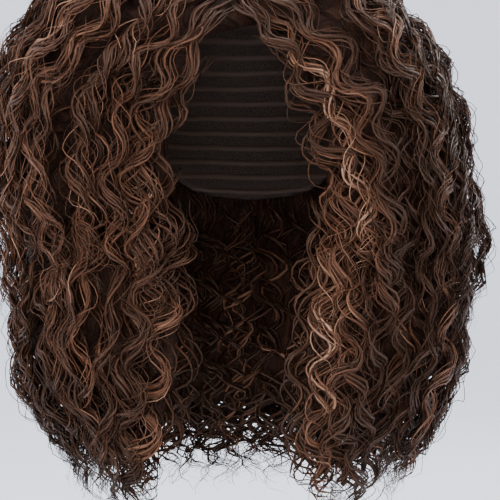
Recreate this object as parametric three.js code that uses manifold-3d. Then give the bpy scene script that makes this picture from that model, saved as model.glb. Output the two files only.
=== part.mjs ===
// A long curly wig: a thin stretch cap that fits a head, crown hair lying on it to either side of a parting,
// and hair hanging round the neck and beside the face. Millimetres, +Z up, the face towards -Y.
// The origin is the inside of the cap at the crown of the head. Left and right are the wearer's: left is +X.
import * as THREE from 'three';
import { LoftGeometry } from 'three/addons/geometries/LoftGeometry.js';
import { mergeVertices } from 'three/addons/utils/BufferGeometryUtils.js';
import Module from 'manifold-3d';

const wasm = await Module();
wasm.setup();

// The head that the cap fits
const HEAD_WIDTH = 152;
const HEAD_LENGTH = 190;
const CROWN_HEIGHT = 100; // from the head's widest level up to its crown
const HEAD_FULLNESS = 2.35; // exponent of the head's rounded outline, 2 for an ellipse

// The cap
const CAP_WALL = 1.6;
const NAPE_DROP = 150; // from the crown down to the cap's edge at the nape

// The hair's outer form, from the middle of the head
const REACH_RIGHT = 187;
const REACH_LEFT = 165;
const REACH_FRONT = 115;
const REACH_BACK = 154;
const CROWN_LIFT = 46; // hair above the crown of the head
const HAIR_DROP = 361; // from the crown down to the lowest tips
const FORM_FULLNESS = 2.1;

// Gaps between pieces
const CAP_GAP = 2.8; // hair to cap, with room for the facets of both
const PART_GAP = 0.9; // between neighbouring sections of hair
const TIER_GAP = 4; // between the crown hair and the hanging hair under it

// Curls and locks
const CURL_LENGTH = 64; // one full wave along the hair
const CURL_SIDEWAYS = 9;
const CURL_OUTWARDS = 3;
const CURL_TURNS = 3; // waves by which the curls shift once round the head
const ROW_FALL = 0.055; // fall between two rows of facets
const LOCK_DEPTH = 13; // groove between two locks
const VALLEY_DEPTH = 17; // groove between two sections
const TIP_WIDTH = 22;
const TIP_THICKNESS = 10;
const TIP_DEPTH = 8; // from the outer form in to the middle of a tip
const TIP_ROOT = 0.6; // size of a tip's root, as a share of its width
const TIP_SIDES = 3;
const TIP_END = 0.2; // size of a tip's end, as a share of its width
const TIP_OVERLAP = 0.1; // fall over which a tip is rooted in the hair above it
const REACH_SPREAD = 0.03; // how much the tips of one section differ in how far down they reach

// The parting and the hairline
const PARTING_AZIMUTH = -8;
const PARTING_HAIR = 5; // thickness of the hair at the parting
const HAIRLINE_FALL = 0.58;

// The two tiers: the crown hair lies over the top of the hanging hair
const TIER_START = 0.84; // where the surface between the tiers leaves the cap
const TIER_END = 1.3; // where it has climbed to just under the outer form
const TIER_DEPTH = 21; // its depth under the form there
const TIER_FREE = 1.42; // below this the hanging hair comes forward again
const HANGING_TOP = 0.9;
const HANGING_BODY = 1.86; // where the body of the hanging hair ends and its tips go on
const END_SLOPE = 0.12; // fall over which the end of a body thins out
const END_THICKNESS = 9; // of a body at its end
const RAGGED_HEM = 0.03; // fall by which the crests run on, and the grooves stop short, at the end of a body

// "fall" runs down the hair: 0 at the crown, 1 at the head's widest level, 2 at the lowest tips.
// Each row gives the form's reach there, as shares of the four named reaches.
const FORM = [
  { fall: 0.0, right: 0.96, left: 0.70, front: 1.00, back: 0.97 },
  { fall: 0.25, right: 0.97, left: 0.70, front: 1.00, back: 0.97 },
  { fall: 0.5, right: 0.97, left: 0.76, front: 1.05, back: 0.97 },
  { fall: 0.75, right: 0.97, left: 0.82, front: 1.03, back: 0.98 },
  { fall: 1.0, right: 0.98, left: 0.88, front: 1.00, back: 0.99 },
  { fall: 1.15, right: 1.00, left: 0.93, front: 0.98, back: 1.00 },
  { fall: 1.3, right: 1.00, left: 1.00, front: 0.97, back: 1.00 },
  { fall: 1.46, right: 0.96, left: 0.97, front: 0.96, back: 0.97 },
  { fall: 1.58, right: 0.91, left: 0.91, front: 0.94, back: 0.93 },
  { fall: 1.69, right: 0.81, left: 0.84, front: 0.91, back: 0.88 },
  { fall: 1.81, right: 0.72, left: 0.71, front: 0.89, back: 0.79 },
  { fall: 1.9, right: 0.63, left: 0.60, front: 0.85, back: 0.70 },
  { fall: 2.0, right: 0.54, left: 0.54, front: 0.80, back: 0.62 },
];

// The hollow under the head's widest level, as shares of half the head's width and length
const HOLLOW = [
  { fall: 1.0, side: 1.0, front: 1.0, back: 1.0 },
  { fall: 1.19, side: 0.98, front: 0.90, back: 0.90 },
  { fall: 1.38, side: 0.92, front: 0.79, back: 0.81 },
  { fall: 1.57, side: 0.87, front: 0.72, back: 0.76 },
  { fall: 2.0, side: 0.87, front: 0.72, back: 0.76 },
];

// The cap's edge: its drop below the crown at each azimuth, as a share of the drop at the nape
const RIM = [
  { azimuth: 0, drop: 0.26 },
  { azimuth: 30, drop: 0.31 },
  { azimuth: 52, drop: 0.52 },
  { azimuth: 68, drop: 0.80 },
  { azimuth: 84, drop: 0.78 },
  { azimuth: 100, drop: 0.66 },
  { azimuth: 124, drop: 0.78 },
  { azimuth: 150, drop: 0.97 },
  { azimuth: 180, drop: 1.0 },
];

// The opening for the face: the azimuths of its two edges, which start together at the hairline
const FACE = [
  { fall: HAIRLINE_FALL, right: PARTING_AZIMUTH, left: PARTING_AZIMUTH },
  { fall: 0.69, right: -18, left: 4 },
  { fall: 0.79, right: -23, left: 8 },
  { fall: 0.93, right: -28, left: 16 },
  { fall: 1.05, right: -27, left: 20 },
  { fall: 1.2, right: -23, left: 22 },
  { fall: 1.33, right: -19, left: 20 },
  { fall: 1.45, right: -17, left: 16 },
  { fall: 1.58, right: -20, left: 14 },
  { fall: 1.7, right: -24, left: 14 },
  { fall: 1.83, right: -30, left: 15 },
  { fall: 2.0, right: -36, left: 22 },
];

// Where the crown hair is divided: each divide turns from its azimuth at the top to another lower down,
// and the two front ones start part of the way along the parting
const DIVIDE_FALL = 1.0;
const DIVIDE_BEND = 0.6;
const DIVIDES = {
  leftFront: { fall: 0.2, top: PARTING_AZIMUTH, low: 56 },
  leftSide: { fall: 0, top: 84, low: 116 },
  back: { fall: 0, top: 180, low: 180 },
  rightSide: { fall: 0, top: -94, low: -116 },
  rightFront: { fall: 0.2, top: PARTING_AZIMUTH, low: -60 },
};

// The sections of hair from edge to edge, with how many locks each has and how far down these reach.
// Every other crown section is built upwards, so that the facets of its edges match those of its neighbours.
const CROWN = [
  { name: 'crown_left_front', from: 'faceLeft', to: 'leftFront', start: 0.25, locks: 3, reach: 1.4, build: 'down' },
  { name: 'crown_left_side', from: 'leftFront', to: 'leftSide', start: 0.02, locks: 4, reach: 1.37, build: 'up' },
  { name: 'crown_left_back', from: 'leftSide', to: 'back', start: 0.02, locks: 4, reach: 1.39, build: 'down' },
  { name: 'crown_right_back', from: 'back', to: 'rightSide', start: 0.02, locks: 4, reach: 1.38, build: 'up' },
  { name: 'crown_right_side', from: 'rightSide', to: 'rightFront', start: 0.02, locks: 4, reach: 1.4, build: 'down' },
  { name: 'crown_right_front', from: 'rightFront', to: 'faceRight', start: 0.25, locks: 3, reach: 1.37, build: 'up' },
];
const HANGING = [
  { name: 'hanging_left_front', from: 'faceLeft', to: 53, locks: 3, reach: 1.97 },
  { name: 'hanging_left_side', from: 53, to: 93, locks: 4, reach: 1.94 },
  { name: 'hanging_left_back', from: 93, to: 136, locks: 4, reach: 1.95 },
  { name: 'hanging_nape_left', from: 136, to: 180, locks: 4, reach: 1.96 },
  { name: 'hanging_nape_right', from: 180, to: -136, locks: 4, reach: 1.96 },
  { name: 'hanging_right_back', from: -136, to: -93, locks: 4, reach: 1.94 },
  { name: 'hanging_right_side', from: -93, to: -53, locks: 4, reach: 1.94 },
  { name: 'hanging_right_front', from: -53, to: 'faceRight', locks: 3, reach: 1.96 },
];

// Facets
const FACET_TOLERANCE = 0.25;
const CAP_COLUMNS = 30;
const CAP_ROWS = 6;

const skirt = HAIR_DROP - CROWN_HEIGHT;
const degrees = THREE.MathUtils.degToRad;
const mix = THREE.MathUtils.lerp;

// The value of a column of a table at a place between two of its rows
function column(table, key, at, name) {
  const last = table.length - 1;
  if (at <= table[0][key]) return table[0][name];
  if (at >= table[last][key]) return table[last][name];
  const i = table.findIndex((row) => row[key] >= at);
  const before = table[i - 1];
  const share = (at - before[key]) / (table[i][key] - before[key]);
  return mix(before[name], table[i][name], share);
}

// An azimuth in degrees, brought to between -180 and 180
function wrapped(azimuth) {
  return THREE.MathUtils.euclideanModulo(azimuth + 180, 360) - 180;
}

// How far a rounded outline with these half sizes reaches at an azimuth, 0 being the front
function outline(azimuth, right, left, front, back, fullness) {
  const across = Math.sin(degrees(azimuth));
  const along = Math.cos(degrees(azimuth));
  const side = Math.abs(across) / (across > 0 ? left : right);
  const end = Math.abs(along) / (along > 0 ? front : back);
  return (side ** fullness + end ** fullness) ** (-1 / fullness);
}

// The angle above the horizon of the ray from the middle of the head, at a fall above the widest level
function elevation(fall) {
  return degrees(90) * Math.max(0, 1 - fall);
}

// A point at a distance from the axis below the widest level, or from the middle of the head above it
function place(azimuth, fall, distance) {
  const rise = elevation(fall);
  const out = distance * Math.cos(rise);
  const below = Math.max(0, fall - 1) * skirt;
  return new THREE.Vector3(
    out * Math.sin(degrees(azimuth)),
    -out * Math.cos(degrees(azimuth)),
    distance * Math.sin(rise) - CROWN_HEIGHT - below,
  );
}

// The distance of a dome whose top and outline are given
function dome(rise, top, reach, fullness) {
  return ((Math.cos(rise) / reach) ** fullness + (Math.sin(rise) / top) ** fullness) ** (-1 / fullness);
}

// The head's surface, and the hollow for the neck under it
function headDistance(azimuth, fall) {
  const side = column(HOLLOW, 'fall', fall, 'side') * HEAD_WIDTH / 2;
  const front = column(HOLLOW, 'fall', fall, 'front') * HEAD_LENGTH / 2;
  const back = column(HOLLOW, 'fall', fall, 'back') * HEAD_LENGTH / 2;
  const reach = outline(azimuth, side, side, front, back, HEAD_FULLNESS);
  return dome(elevation(fall), CROWN_HEIGHT, reach, HEAD_FULLNESS);
}

// The inner face of the hair, just off the cap
function innerDistance(azimuth, fall) {
  return headDistance(azimuth, fall) + CAP_WALL + CAP_GAP;
}

// The outer form, at the crests of the locks
function formDistance(azimuth, fall) {
  const reach = outline(
    azimuth,
    REACH_RIGHT * column(FORM, 'fall', fall, 'right'),
    REACH_LEFT * column(FORM, 'fall', fall, 'left'),
    REACH_FRONT * column(FORM, 'fall', fall, 'front'),
    REACH_BACK * column(FORM, 'fall', fall, 'back'),
    FORM_FULLNESS,
  );
  return dome(elevation(fall), CROWN_HEIGHT + CROWN_LIFT, reach, FORM_FULLNESS);
}

// The surface between the two tiers of hair, which climbs from the cap to just under the outer form
function tierDistance(azimuth, fall) {
  const share = THREE.MathUtils.smoothstep(fall, TIER_START, TIER_END);
  return mix(innerDistance(azimuth, fall), formDistance(azimuth, fall) - TIER_DEPTH, share);
}

// The underside of the crown hair: on the cap at first, then a gap above the hanging hair
function crownUnderside(azimuth, fall) {
  return tierDistance(azimuth, fall) + (fall > TIER_START ? TIER_GAP : 0);
}

// The azimuth of a named edge between sections, or of one given in degrees
function edgeAzimuth(edge, fall) {
  if (edge === 'faceLeft') return column(FACE, 'fall', fall, 'left');
  if (edge === 'faceRight') return column(FACE, 'fall', fall, 'right');
  if (typeof edge === 'number') return edge;
  const divide = DIVIDES[edge];
  const share = THREE.MathUtils.clamp((fall - divide.fall) / (DIVIDE_FALL - divide.fall), 0, 1);
  return mix(divide.top, divide.low, share ** DIVIDE_BEND);
}

// The azimuth at a share of a section's width, which runs from its first edge to its second
function acrossSection(section, fall, share) {
  const from = edgeAzimuth(section.from, fall);
  const to = edgeAzimuth(section.to, fall);
  return from + THREE.MathUtils.euclideanModulo(to - from, 360) * share;
}

// Where a curl is in its wave
function curlAngle(azimuth, fall) {
  return 2 * Math.PI * fall * skirt / CURL_LENGTH + CURL_TURNS * degrees(azimuth);
}

// How much of its full wave a curl has at a fall: none at the parting
function curlGrowth(fall) {
  return THREE.MathUtils.smoothstep(fall, HAIRLINE_FALL / 2, HAIRLINE_FALL * 1.3);
}

// The azimuth after the curls have pushed it to the side
function curled(azimuth, fall, out) {
  const push = curlGrowth(fall) * CURL_SIDEWAYS * Math.sin(curlAngle(azimuth, fall));
  return azimuth + THREE.MathUtils.radToDeg(push / out);
}

// A point of a section: its share of the width, curled, and moved off both edges by half of the gap
function pointOf(section, fall, share, face) {
  const azimuth = acrossSection(section, fall, share);
  const distance = face(azimuth, fall, share);
  const out = distance * Math.cos(elevation(fall));
  const trim = THREE.MathUtils.radToDeg(Math.asin(PART_GAP / 2 / out)) * (1 - 2 * share);
  return place(curled(azimuth, fall, out) + trim, fall, distance);
}

// A closed outline at one fall: across the outer face, then back along the inner one, whose points go in pairs.
// Towards the end of a section the crests run on past the grooves, which leaves the hem ragged.
function ring(section, fall, end, outer, inner) {
  const count = 2 * section.locks;
  const ragged = RAGGED_HEM * THREE.MathUtils.smoothstep(fall, end - END_SLOPE, end);
  const across = [];
  const back = [];
  for (let i = 0; i <= count; i += 1) {
    across.push(pointOf(section, fall + (i % 2 === 1 ? ragged : -ragged), i / count, outer));
    back.unshift(pointOf(section, fall - ragged, Math.round(i / 2) * 2 / count, inner));
  }
  return [...across, ...back];
}

// A ring folded onto its inner face
function folded(points) {
  const inner = points.slice(points.length / 2);
  return [...inner.toReversed(), ...inner];
}

// The rows of facets of a section, at falls that neighbours share
function rowsBetween(start, end) {
  const rows = [start];
  const first = Math.floor(start / ROW_FALL) + 1;
  for (let k = first; k * ROW_FALL < end - ROW_FALL / 4; k += 1) rows.push(k * ROW_FALL);
  return [...rows, end];
}

// Turns a closed geometry into a solid that can be joined and cut
function solidOf(geometry) {
  const surface = new THREE.BufferGeometry();
  surface.setAttribute('position', geometry.getAttribute('position'));
  surface.setIndex(geometry.getIndex());
  const merged = mergeVertices(surface, 1e-4);
  const corners = merged.index.array;
  const faces = [];
  for (let i = 0; i < corners.length; i += 3) {
    const [a, b, c] = corners.slice(i, i + 3);
    if (a !== b && b !== c && c !== a) faces.push(a, b, c);
  }
  const vertProperties = merged.attributes.position.array;
  const solidFrom = (triVerts) => new wasm.Manifold(new wasm.Mesh({ numProp: 3, vertProperties, triVerts }));
  const solid = solidFrom(new Uint32Array(faces));
  return solid.volume() > 0 ? solid : solidFrom(new Uint32Array(faces).reverse());
}

function geometryOf(solid) {
  const mesh = solid.getMesh();
  const geometry = new THREE.BufferGeometry();
  geometry.setAttribute('position', new THREE.BufferAttribute(mesh.vertProperties, 3));
  geometry.setIndex(new THREE.BufferAttribute(mesh.triVerts, 1));
  geometry.computeVertexNormals();
  return geometry;
}

// A shell of hair between two faces, closed at its top and bottom rows by rings folded onto the inner face
function shell(section, rows, outer, inner) {
  const rings = rows.map((fall) => ring(section, fall, rows.at(-1), outer, inner));
  const closed = [folded(rings[0]), ...rings, folded(rings.at(-1))];
  return solidOf(new LoftGeometry(section.build === 'up' ? closed.reverse() : closed));
}

// The fall at which the head's surface is this far below the crown
function fallOfDrop(azimuth, drop) {
  if (drop > CROWN_HEIGHT) return 1 + (drop - CROWN_HEIGHT) / skirt;
  const height = CROWN_HEIGHT - drop;
  const reach = headDistance(azimuth, 1);
  const out = reach * (1 - (height / CROWN_HEIGHT) ** HEAD_FULLNESS) ** (1 / HEAD_FULLNESS);
  return 1 - Math.atan2(height, out) / degrees(90);
}

// The cap: a thin dome whose edge rises over the forehead and the ears
function capGeometry() {
  const sections = [];
  for (let i = 0; i <= CAP_COLUMNS; i += 1) {
    const azimuth = wrapped((i % CAP_COLUMNS) * 360 / CAP_COLUMNS);
    const drop = NAPE_DROP * column(RIM, 'azimuth', Math.abs(azimuth), 'drop');
    const edge = fallOfDrop(azimuth, drop);
    const outer = [];
    const inner = [];
    for (let j = 0; j <= CAP_ROWS; j += 1) {
      const fall = edge * j / CAP_ROWS;
      const distance = headDistance(azimuth, fall);
      outer.push(place(azimuth, fall, distance + CAP_WALL));
      inner.unshift(place(azimuth, fall, distance));
    }
    sections.push([...outer, ...inner]);
  }
  return geometryOf(solidOf(new LoftGeometry(sections)));
}

// Whether a share of a section's width lies on the parting
function onParting(section, fall, share) {
  if ((share > 0 && share < 1) || fall >= HAIRLINE_FALL) return false;
  const edge = share === 0 ? section.from : section.to;
  return edgeAzimuth(edge, fall) === PARTING_AZIMUTH;
}

// The outer face of a section: crests along its locks, grooves between them and valleys at its edges
function lockFace(section) {
  return (azimuth, fall, share) => {
    if (onParting(section, fall, share)) return innerDistance(azimuth, fall) + PARTING_HAIR;
    const form = formDistance(azimuth, fall);
    if (share === 0 || share === 1) return form - VALLEY_DEPTH;
    const crest = Math.round(share * 2 * section.locks) % 2 === 1;
    if (!crest) return form - LOCK_DEPTH;
    return form - CURL_OUTWARDS + curlGrowth(fall) * CURL_OUTWARDS * Math.cos(curlAngle(azimuth, fall));
  };
}

// One curly tip: a flat tube that goes on along a lock's crest and narrows to its end
function tip(section, index, from, to) {
  const share = (index + 0.5) / section.locks;
  const steps = Math.round((to - from) / ROW_FALL);
  const middle = (fall) => {
    const face = (azimuth, at) =>
      formDistance(azimuth, at) - TIP_DEPTH + CURL_OUTWARDS * Math.cos(curlAngle(azimuth, at));
    return pointOf(section, fall, share, face);
  };
  const rings = [];
  for (let i = 0; i <= steps; i += 1) {
    const t = i / steps;
    const fall = mix(from, to, t);
    const centre = middle(fall);
    const along = middle(fall + ROW_FALL / 4).sub(middle(fall - ROW_FALL / 4)).normalize();
    const outwards = new THREE.Vector3(centre.x, centre.y, 0);
    const side = new THREE.Vector3().crossVectors(along, outwards).normalize();
    const up = new THREE.Vector3().crossVectors(along, side);
    const rooted = THREE.MathUtils.smoothstep(fall, from, from + TIP_OVERLAP);
    const size = mix(1, TIP_END, t * t) * mix(TIP_ROOT, 1, rooted);
    const points = [];
    for (let k = 0; k < TIP_SIDES; k += 1) {
      const angle = 2 * Math.PI * k / TIP_SIDES;
      const point = centre.clone();
      point.addScaledVector(side, Math.cos(angle) * size * TIP_WIDTH / 2);
      point.addScaledVector(up, Math.sin(angle) * size * TIP_THICKNESS / 2);
      points.push(point);
    }
    rings.push(points);
  }
  return solidOf(new LoftGeometry(rings, { capStart: true, capEnd: true }));
}

// A section's body with its tips joined to it
function withTips(section, body, end) {
  let hair = body;
  for (let i = 0; i < section.locks; i += 1) {
    const spread = REACH_SPREAD * ((i * 2) % 3 - 1);
    hair = hair.add(tip(section, i, end - TIP_OVERLAP, section.reach + spread));
  }
  return geometryOf(hair.simplify(FACET_TOLERANCE));
}

// How much of its thickness a body has left near its end
function endShare(fall, end) {
  return 1 - THREE.MathUtils.smoothstep(fall, end - END_SLOPE, end);
}

// Crown hair: it lies on the cap, then over the hanging hair, and thins out into its tips
function crownHair(section) {
  const face = lockFace(section);
  const outer = (azimuth, fall, share) => {
    const near = crownUnderside(azimuth, fall);
    const thin = near + END_THICKNESS;
    return Math.max(near + PARTING_HAIR, mix(thin, face(azimuth, fall, share), endShare(fall, TIER_END)));
  };
  const body = shell(section, rowsBetween(section.start, TIER_END), outer, crownUnderside);
  return withTips(section, body, TIER_END);
}

// Hanging hair: it starts on the cap under the crown hair, and thins out into its tips at the hem
function hangingHair(section) {
  const face = lockFace(section);
  const outer = (azimuth, fall, share) => {
    if (fall <= TIER_END) return tierDistance(azimuth, fall);
    const form = formDistance(azimuth, fall);
    const open = mix(form - 2 * END_THICKNESS, face(azimuth, fall, share), endShare(fall, HANGING_BODY));
    return mix(form - TIER_DEPTH, open, THREE.MathUtils.smoothstep(fall, TIER_FREE, TIER_FREE + END_SLOPE));
  };
  const inner = (azimuth, fall) => {
    const thin = formDistance(azimuth, fall) - 3 * END_THICKNESS;
    return mix(thin, innerDistance(azimuth, fall), endShare(fall, HANGING_BODY));
  };
  const body = shell(section, rowsBetween(HANGING_TOP, HANGING_BODY), outer, inner);
  return withTips(section, body, HANGING_BODY);
}

const CAP_NET = new THREE.MeshStandardMaterial({ color: '#15100d', roughness: 0.9, metalness: 0 });
const CROWN_HAIR = new THREE.MeshStandardMaterial({ color: '#33221a', roughness: 0.5, metalness: 0 });
const HANGING_HAIR = new THREE.MeshStandardMaterial({ color: '#4a2f22', roughness: 0.5, metalness: 0 });

function piece(name, geometry, material) {
  const mesh = new THREE.Mesh(geometry, material.clone());
  mesh.name = name;
  return mesh;
}

const wig = new THREE.Group();
wig.add(piece('cap', capGeometry(), CAP_NET));
CROWN.forEach((section) => wig.add(piece(section.name, crownHair(section), CROWN_HAIR)));
HANGING.forEach((section) => wig.add(piece(section.name, hangingHair(section), HANGING_HAIR)));

export default wig;
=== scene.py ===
# The looks of the long curly wig: its stretch cap, its locks of hair strand by strand, and a plain studio round it.
# Metres, +Z up, the face towards -Y. Left and right are the wearer's, and left is +X.
import math

import bmesh
import bpy
import numpy as np
from bpy.props import FloatProperty, FloatVectorProperty, PointerProperty
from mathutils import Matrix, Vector
from mathutils.bvhtree import BVHTree


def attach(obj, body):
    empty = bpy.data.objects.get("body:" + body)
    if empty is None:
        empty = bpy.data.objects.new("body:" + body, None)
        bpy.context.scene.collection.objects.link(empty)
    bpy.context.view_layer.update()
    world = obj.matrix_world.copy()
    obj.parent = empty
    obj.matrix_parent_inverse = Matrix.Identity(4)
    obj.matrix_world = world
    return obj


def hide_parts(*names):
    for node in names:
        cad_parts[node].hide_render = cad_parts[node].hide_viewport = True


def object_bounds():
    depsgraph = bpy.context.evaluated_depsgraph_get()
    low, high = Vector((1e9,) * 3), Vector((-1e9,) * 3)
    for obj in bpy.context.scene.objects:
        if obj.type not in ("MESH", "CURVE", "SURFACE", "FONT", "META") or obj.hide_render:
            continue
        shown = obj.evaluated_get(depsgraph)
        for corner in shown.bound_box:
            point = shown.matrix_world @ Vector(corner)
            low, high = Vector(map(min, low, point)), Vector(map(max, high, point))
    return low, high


bl_info = {
    "name": "Long curly wig",
    "version": (1, 0, 0),
    "blender": (4, 5, 0),
    "location": "3D View > Sidebar > Wig",
    "description": "Dresses a wig's packed solids with a net cap, curly strands and a plain studio",
    "category": "Object",
}

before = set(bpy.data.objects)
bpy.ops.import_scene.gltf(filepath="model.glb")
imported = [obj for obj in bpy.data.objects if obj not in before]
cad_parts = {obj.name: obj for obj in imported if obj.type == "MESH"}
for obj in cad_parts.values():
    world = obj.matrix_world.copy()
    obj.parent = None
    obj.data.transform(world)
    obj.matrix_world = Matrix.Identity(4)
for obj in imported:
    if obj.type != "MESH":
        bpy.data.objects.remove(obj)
CAD_LOW, CAD_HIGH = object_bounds()

# The hair is laid out by azimuth, 0 at the front and positive to the wearer's left, and by fall: 0 at the crown,
# 1 at the head's widest level and 2 at the lowest tips.
WIDEST_DROP = 0.100
SKIRT = -CAD_LOW.z - WIDEST_DROP
CROWN_ARC = 0.235  # length of hair from the crown down to the widest level
HAIRLINE_FALL = 0.58
PARTING = -8.0

# The opening for the face: the azimuths of its two edges
FACE = [
    {"fall": HAIRLINE_FALL, "right": PARTING, "left": PARTING},
    {"fall": 0.69, "right": -14, "left": 3},
    {"fall": 0.79, "right": -14, "left": 7},
    {"fall": 0.93, "right": -20, "left": 14},
    {"fall": 1.05, "right": -25, "left": 20},
    {"fall": 1.20, "right": -29, "left": 26},
    {"fall": 1.33, "right": -28, "left": 26},
    {"fall": 1.45, "right": -27, "left": 21},
    {"fall": 1.58, "right": -29, "left": 19},
    {"fall": 1.70, "right": -33, "left": 19},
    {"fall": 1.83, "right": -38, "left": 20},
    {"fall": 2.00, "right": -43, "left": 26},
]

# Where the crown hair divides: from an azimuth where the divide starts to one at the widest level
DIVIDES = {
    "left_front": {"fall": 0.2, "top": PARTING, "low": 56},
    "left_side": {"fall": 0.0, "top": 84, "low": 116},
    "back": {"fall": 0.0, "top": 180, "low": 180},
    "right_side": {"fall": 0.0, "top": -94, "low": -116},
    "right_front": {"fall": 0.2, "top": PARTING, "low": -60},
}

# Each section of hair runs from edge to edge. Crown hair is rooted down to the fall where its parting ends.
# "short" is how much shorter a section of hanging hair is than the locks beside the face.
CROWN = [
    {"node": "crown_left_front", "from": "face_left", "to": "left_front", "rooted": (0.56, 0.20), "parted": 1},
    {"node": "crown_left_side", "from": "left_front", "to": "left_side", "rooted": (0.20, 0.03), "parted": 1},
    {"node": "crown_left_back", "from": "left_side", "to": "back", "rooted": (0.03, 0.03), "parted": 0},
    {"node": "crown_right_back", "from": "back", "to": "right_side", "rooted": (0.03, 0.03), "parted": 0},
    {"node": "crown_right_side", "from": "right_side", "to": "right_front", "rooted": (0.03, 0.20), "parted": -1},
    {"node": "crown_right_front", "from": "right_front", "to": "face_right", "rooted": (0.20, 0.56), "parted": -1},
]
HANGING = [
    {"node": "hanging_left_front", "from": "face_left", "to": 53, "short": 0.0},
    {"node": "hanging_left_side", "from": 53, "to": 93, "short": 0.06},
    {"node": "hanging_left_back", "from": 93, "to": 136, "short": 0.05},
    {"node": "hanging_nape_left", "from": 136, "to": 180, "short": 0.03},
    {"node": "hanging_nape_right", "from": 180, "to": -136, "short": 0.03},
    {"node": "hanging_right_back", "from": -136, "to": -93, "short": 0.05},
    {"node": "hanging_right_side", "from": -93, "to": -53, "short": 0.05},
    {"node": "hanging_right_front", "from": -53, "to": "face_right", "short": 0.0},
]

# Layers of locks, from the outside in. "depth" is how far a lock's middle lies inside the outer form, "pitch" the
# distance between locks side by side, and "ribbons", "hairs" and "strays" how many strands of each kind a lock has.
# "root" is where locks start, or None along the parting, "straight" the length before they curl, "facet" a share of
# the facet length, "tone" how much lighter they are, the inner layers' darker tone being painted shade of their depth,
# and "apart" how little the strands of a lock keep together.
CROWN_LAYERS = [
    {"depth": 0.003, "pitch": 0.0130, "ribbons": 5, "hairs": 5, "strays": 2, "root": None, "tip": (1.32, 1.68),
     "straight": 0.070, "facet": 1.0, "tone": 0.0, "apart": 0.7},
    {"depth": 0.010, "pitch": 0.0108, "ribbons": 4, "hairs": 1, "strays": 0, "root": (0.07, 0.80), "tip": (1.28, 1.64),
     "straight": 0.030, "facet": 1.15, "tone": -0.11, "apart": 1.4},
]
HANGING_LAYERS = [
    {"depth": 0.003, "pitch": 0.0120, "ribbons": 5, "hairs": 5, "strays": 1, "root": (1.10, 1.28), "tip": (1.98, 2.08),
     "straight": 0.012, "facet": 1.0, "tone": 0.0, "apart": 0.7},
    {"depth": 0.012, "pitch": 0.0108, "ribbons": 4, "hairs": 0, "strays": 0, "root": (1.08, 1.30), "tip": (1.95, 2.07),
     "straight": 0.012, "facet": 1.15, "tone": -0.12, "apart": 1.4},
    {"depth": None, "pitch": 0.0135, "ribbons": 3, "hairs": 0, "strays": 0, "root": (1.08, 1.25), "tip": (1.93, 2.06),
     "straight": 0.012, "facet": 1.3, "tone": -0.02, "apart": 1.4},
]
TIER_COVER = {"depth": 0.010, "from": 1.10, "to": 1.36}

# Kinds of strand: "width" is a size of WigHair, "flat" a strand's thickness as a share of its width, "loose" how
# much it leaves its lock, and "reach" the least share of the lock that it runs to.
STRANDS = {
    "ribbons": {"width": "ribbon_width", "flat": 0.24, "loose": 0.0, "reach": 0.92, "tone": -0.03},
    "hairs": {"width": "hair_width", "flat": 0.6, "loose": 0.35, "reach": 0.88, "tone": 0.06},
    "strays": {"width": "stray_width", "flat": 0.9, "loose": 1.0, "reach": 0.75, "tone": 0.02},
}

# Where the hair is lighter by its caramel streaks or, with "light" below 0, darker by painted shade: the middle of each
# patch, how far it reaches in degrees and in fall, and how light it is
CARAMEL_AND_SHADE_PATCHES = [
    {"azimuth": 28, "fall": 1.40, "wide": 8, "tall": 0.40, "light": 0.60},
    {"azimuth": 26, "fall": 0.85, "wide": 12, "tall": 0.14, "light": 0.18},
    {"azimuth": -50, "fall": 0.72, "wide": 24, "tall": 0.20, "light": 0.27},
    {"azimuth": -58, "fall": 1.30, "wide": 20, "tall": 0.24, "light": 0.32},
    {"azimuth": -44, "fall": 1.80, "wide": 20, "tall": 0.15, "light": 0.20},
    {"azimuth": 60, "fall": 1.75, "wide": 16, "tall": 0.18, "light": 0.12},
    # Painted shade: the wearer's left side, away from the key light, darker
    {"azimuth": 68, "fall": 1.10, "wide": 27, "tall": 0.75, "light": -0.30},
    {"azimuth": 110, "fall": 0.80, "wide": 22, "tall": 0.25, "light": 0.18},
    {"azimuth": 165, "fall": 1.25, "wide": 30, "tall": 0.35, "light": 0.16},
    {"azimuth": -125, "fall": 1.45, "wide": 24, "tall": 0.30, "light": 0.18},
]

# The form that rays measure: their grid and start, how far its crests spread, and how much its faces are smoothed
GRID_AZIMUTHS = 120
GRID_FALLS = 81
RAY_START = 0.4
CREST_SPREAD = 4
OUTER_SMOOTHING = 10
INNER_SMOOTHING = 4
CREST_CLEARANCE = 0.0015
DIVIDE_BEND = 0.6  # how early a divide turns from its top azimuth to its low one


def smoothstep(value, low, high):
    share = np.clip((value - low) / (high - low), 0.0, 1.0)
    return share * share * (3.0 - 2.0 * share)


def mix(a, b, share):
    return a + (b - a) * share


def place(azimuth, fall, distance):
    """Points at azimuths in degrees, falls, and distances from the head's middle, or below it from its axis."""
    rise = np.radians(90.0) * np.maximum(0.0, 1.0 - fall)
    out = distance * np.cos(rise)
    below = np.maximum(0.0, fall - 1.0) * SKIRT
    turn = np.radians(azimuth)
    return np.stack([out * np.sin(turn), -out * np.cos(turn), distance * np.sin(rise) - WIDEST_DROP - below], -1)


def placed(points):
    """The azimuth, fall and distance of points."""
    out = np.hypot(points[:, 0], points[:, 1])
    over = points[:, 2] + WIDEST_DROP
    azimuth = np.degrees(np.arctan2(points[:, 0], -points[:, 1]))
    high = over > 0
    fall = np.where(high, 1.0 - np.degrees(np.arctan2(over, out)) / 90.0, 1.0 - over / SKIRT)
    return azimuth, fall, np.where(high, np.hypot(out, over), out)


def fallen(fall):
    """The length of hair from the crown down to a fall."""
    return np.where(fall < 1.0, fall * CROWN_ARC, CROWN_ARC + (fall - 1.0) * SKIRT)


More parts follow.
